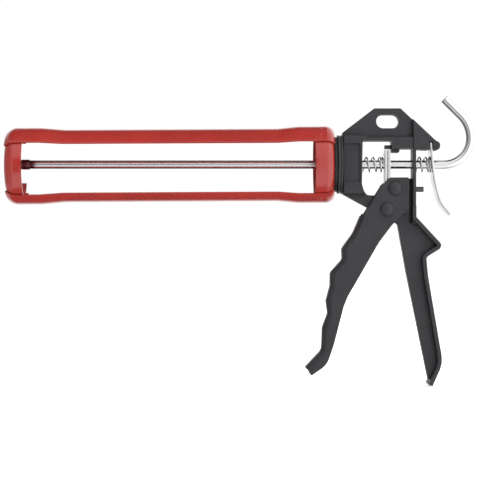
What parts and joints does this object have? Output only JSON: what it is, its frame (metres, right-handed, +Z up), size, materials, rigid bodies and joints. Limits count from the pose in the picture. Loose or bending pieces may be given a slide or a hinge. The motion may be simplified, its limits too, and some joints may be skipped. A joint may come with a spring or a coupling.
{
  "type": "caulking gun",
  "caption": "Caulking gun with an open swivelling cradle, hooked push rod, push plate, sprung trigger with drive plates and a rear release lever.",
  "frame": {"origin": "centre of the push plate's flat front face, on the rod's axis, with the rod fully forward", "axes": "+X along the rod from the nozzle end to the hook, +Z up with the handle hanging down, the side with the cradle's narrow window towards -Y"},
  "size_m": [0.3382, 0.0524, 0.2094],
  "materials": {
    "red_paint": "gloss",
    "black_coat": "satin powder coat",
    "chrome": "polished",
    "zinc_plate": "bright zinc plate",
    "dark_steel": "plain",
    "nylon": "matte"
  },
  "bodies": {
    "frame": {"handle_casting": "black_coat", "swivel_flange": "black_coat", "friction_washer": "nylon", "swivel_washer": "zinc_plate", "swivel_nut": "zinc_plate", "stop_pin": "dark_steel", "main_spring": "zinc_plate", "release_spring": "zinc_plate"},
    "cradle": {"front_cup": "red_paint", "rear_cup": "red_paint", "top_rail": "red_paint", "bottom_rail": "red_paint"},
    "plate": {"push_plate": "zinc_plate"},
    "rod": {"push_rod": "chrome", "rod_collar": "chrome"},
    "trigger": {"trigger": "black_coat", "trigger_pivot_pin": "black_coat", "thrust_pin": "black_coat"},
    "drive": {"drive_plate_front": "zinc_plate", "drive_plate_rear": "zinc_plate"},
    "lever": {"release_lever": "zinc_plate"}
  },
  "joints": [
    {"name": "cradle_swivel", "type": "hinge", "parent": "frame", "child": "cradle", "pos_m": [0.2311, 0, 0], "axis": [1, 0, 0.0052], "continuous": true},
    {"name": "rod_slide", "type": "slide", "parent": "frame", "child": "plate", "axis": [1, 0, 0], "range_m": [0, 0.21]},
    {"name": "rod_twist", "type": "hinge", "parent": "plate", "child": "rod", "pos_m": [0.002, 0, 0], "axis": [1, 0, 0], "continuous": true},
    {"name": "trigger_pull", "type": "hinge", "parent": "frame", "child": "trigger", "pos_m": [0.2694, 0, -0.0326], "axis": [0, -1, 0], "range_deg": [0, 26], "stiffness_Nm_per_rad": 0.6, "springref_deg": -28.65},
    {"name": "drive_slide", "type": "slide", "parent": "frame", "child": "drive", "axis": [-1, 0, 0], "range_m": [0, 0.0073], "deforming": ["main_spring"]},
    {"name": "lever_release", "type": "hinge", "parent": "frame", "child": "lever", "pos_m": [0.30105, 0, 0.015], "axis": [0, 1, 0], "range_deg": [0, 6], "stiffness_Nm_per_rad": 0.3, "springref_deg": -28.65, "deforming": ["release_spring"]}
  ],
  "couplings": [
    {"joint": "drive_slide", "follows": "trigger_pull", "m_per_rad": 0.0159}
  ]
}
